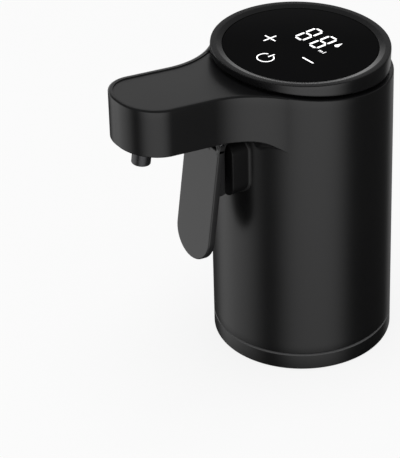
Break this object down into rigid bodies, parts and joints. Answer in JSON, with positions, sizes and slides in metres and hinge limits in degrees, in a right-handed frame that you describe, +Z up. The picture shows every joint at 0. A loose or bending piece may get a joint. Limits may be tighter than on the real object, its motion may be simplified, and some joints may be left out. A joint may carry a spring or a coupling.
{
  "type": "electric wine dispenser",
  "caption": "Round electric dispenser that sits on a bottle neck, with a rising spout arm, a glass-operated trigger paddle and a round touch display on top.",
  "frame": {"origin": "middle of the bottle socket mouth, on the plane that the base stands on", "axes": "+Z up along the body and the socket, -Y towards the tip of the spout arm, +X to the right for someone who reads the display from the arm side"},
  "size_m": [0.052, 0.0872, 0.097],
  "materials": {
    "shell": "satin",
    "collar": "satin",
    "lens": "gloss",
    "paddle": "satin",
    "gasket": "matte",
    "nozzle": "satin",
    "steel": "brushed",
    "silicone": "matte",
    "hose": "matte",
    "white_plastic": "matte",
    "grey_plastic": "matte",
    "board": "matte",
    "cell": "gloss",
    "motor": "brushed",
    "roller": "satin",
    "black_plastic": "matte"
  },
  "bodies": {
    "body": {"body_shell": "shell", "spout_cover": "shell", "base_ring": "shell", "bottle_socket": "black_plastic", "socket_deck": "black_plastic", "bottle_stopper": "silicone", "seat_gasket": "silicone", "inlet_tube": "steel", "air_valve": "silicone", "chassis": "grey_plastic", "battery": "cell", "main_board": "board", "charge_socket": "steel", "pump_housing": "white_plastic", "pump_cover": "grey_plastic", "pump_motor": "motor", "pump_tube": "hose", "suction_hose": "hose", "delivery_hose": "hose", "hose_couplers": "steel", "nozzle": "nozzle", "nozzle_seal": "silicone", "display_collar": "collar", "display_lens": "lens", "display_board": "board", "digit_module": "white_plastic", "touch_pads": "silicone", "hinge_pin": "steel", "trigger_block": "shell", "trigger_gasket": "gasket", "return_spring": "steel", "trigger_switch": "black_plastic", "switch_bracket": "grey_plastic", "base_screws": "steel", "chassis_screws": "steel", "bracket_screws": "steel", "pump_screws": "steel", "cover_screws": "steel", "display_screws": "steel"},
    "paddle": {"trigger_paddle": "paddle"},
    "plunger": {"trigger_plunger": "white_plastic"},
    "rotor": {"pump_rotor": "white_plastic", "motor_shaft": "steel"},
    "roller_1": {"pump_roller_1": "roller"},
    "roller_2": {"pump_roller_2": "roller"},
    "roller_3": {"pump_roller_3": "roller"}
  },
  "joints": [
    {"name": "trigger_press", "type": "hinge", "parent": "body", "child": "paddle", "pos_m": [0, -0.0324, 0.0764], "axis": [1, 0, 0], "range_deg": [0, 3], "stiffness_Nm_per_rad": 0.3, "springref_deg": -2.86},
    {"name": "plunger_slide", "type": "slide", "parent": "body", "child": "plunger", "axis": [0, 1, 0], "range_m": [0, 0.0005453], "deforming": ["return_spring"]},
    {"name": "pump_spin", "type": "hinge", "parent": "body", "child": "rotor", "pos_m": [0.0072, 0.003, 0.0524], "axis": [0, 0, 1], "continuous": true},
    {"name": "roller_1_spin", "type": "hinge", "parent": "rotor", "child": "roller_1", "pos_m": [0.0107, 0.003, 0.0524], "axis": [0, 0, 1], "continuous": true},
    {"name": "roller_2_spin", "type": "hinge", "parent": "rotor", "child": "roller_2", "pos_m": [0.00545, 0.00603, 0.0524], "axis": [0, 0, 1], "continuous": true},
    {"name": "roller_3_spin", "type": "hinge", "parent": "rotor", "child": "roller_3", "pos_m": [0.00545, -0.00003, 0.0524], "axis": [0, 0, 1], "continuous": true}
  ],
  "couplings": [
    {"joint": "plunger_slide", "follows": "trigger_press", "m_per_rad": 0.010396},
    {"joint": "roller_1_spin", "follows": "pump_spin", "ratio": -2.75},
    {"joint": "roller_2_spin", "follows": "pump_spin", "ratio": -2.75},
    {"joint": "roller_3_spin", "follows": "pump_spin", "ratio": -2.75}
  ]
}
